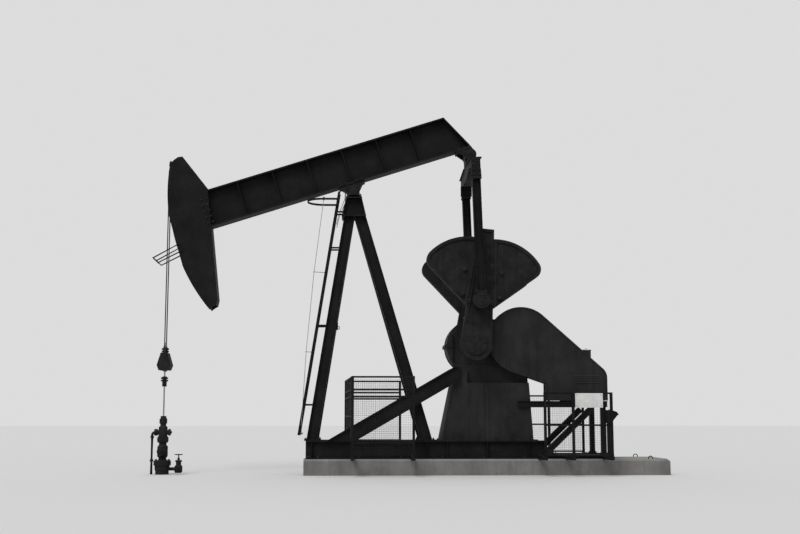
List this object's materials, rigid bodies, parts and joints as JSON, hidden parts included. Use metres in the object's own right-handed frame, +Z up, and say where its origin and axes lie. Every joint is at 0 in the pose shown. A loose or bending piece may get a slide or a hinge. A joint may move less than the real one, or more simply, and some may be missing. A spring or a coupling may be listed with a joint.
{
  "type": "conventional crank-balanced beam pumping unit (pumpjack)",
  "caption": "Beam pumping unit on a concrete base: rocking beam with curved head, bridle and polished rod over a wellhead, pitmans, weighted cranks, gear reducer and belt-driven motor.",
  "frame": {"origin": "on the ground, in the concrete's underside, straight below the centre bearing", "axes": "+X from the horsehead to the motor, +Z up, -Y toward the side that the picture shows"},
  "size_m": [12.4655, 3.38, 8.8223],
  "materials": {
    "black_steel": "weathered near-black enamel, satin",
    "grey_steel": "weathered dark grey enamel, dusty",
    "cast_metal": "painted rough casting",
    "wire_rope": "greased wire rope",
    "bright_steel": "ground and oiled",
    "concrete": "weathered cast concrete",
    "sign_white": "bare white enamel"
  },
  "bodies": {
    "root": {"concrete_base": "concrete", "skid_rails": "black_steel", "skid_crossbeams": "black_steel", "front_legs": "black_steel", "rear_legs": "black_steel", "leg_bracing": "black_steel", "post_head": "black_steel", "center_bearing": "cast_metal", "ladder": "black_steel", "ladder_hoop": "black_steel", "pedestal": "grey_steel", "pedestal_struts": "black_steel", "gear_reducer": "grey_steel", "reducer_cover": "grey_steel", "level_pipe": "black_steel", "brake_drum": "cast_metal", "belt_guard": "grey_steel", "motor_platform": "black_steel", "platform_struts": "black_steel", "electric_motor": "grey_steel", "fence_front_near": "black_steel", "fence_front_far": "black_steel", "fence_front_end": "black_steel", "fence_rear_near": "black_steel", "fence_rear_far": "black_steel", "fence_outriggers": "black_steel", "sign_plate": "sign_white", "casing_head": "cast_metal", "tubing_valve": "cast_metal", "stuffing_box": "cast_metal", "flow_line": "cast_metal", "casing_valve": "cast_metal"},
    "beam": {"walking_beam": "black_steel", "beam_saddle": "cast_metal", "horsehead": "black_steel", "bridle_wrap": "wire_rope", "rope_guard": "black_steel", "tail_bracket": "cast_metal"},
    "pitman": {"equalizer": "black_steel", "pitman_arms": "black_steel", "wrist_bearings": "cast_metal"},
    "crank": {"crank_shaft": "bright_steel", "crank_near": "black_steel", "crank_far": "black_steel", "counterweights_near": "cast_metal", "counterweights_far": "cast_metal"},
    "rod": {"carrier_bar": "cast_metal", "rod_clamp": "cast_metal", "polished_rod": "bright_steel", "bridle_strands": "wire_rope"}
  },
  "joints": [
    {"name": "beam_rock", "type": "hinge", "parent": "root", "child": "beam", "pos_m": [0, 0, 6.933], "axis": [0, 1, 0], "range_deg": [0, 39.85]},
    {"name": "crank_turn", "type": "hinge", "parent": "root", "child": "crank", "pos_m": [2.92, 0, 3.072], "axis": [0, 1, 0], "continuous": true},
    {"name": "pitman_swing", "type": "hinge", "parent": "beam", "child": "pitman", "pos_m": [2.90029, 0, 7.87035], "axis": [0, 1, 0], "range_deg": [-45, 5]},
    {"name": "rod_stroke", "type": "slide", "parent": "root", "child": "rod", "axis": [0, 0, 1], "range_m": [0, 3.3], "deforming": ["bridle_strands", "polished_rod"]}
  ],
  "couplings": [
    {"joint": "crank_turn", "follows": "beam_rock", "ratio": 4.3205},
    {"joint": "pitman_swing", "follows": "beam_rock", "ratio": -1.0005},
    {"joint": "rod_stroke", "follows": "beam_rock", "m_per_rad": 4.572}
  ]
}
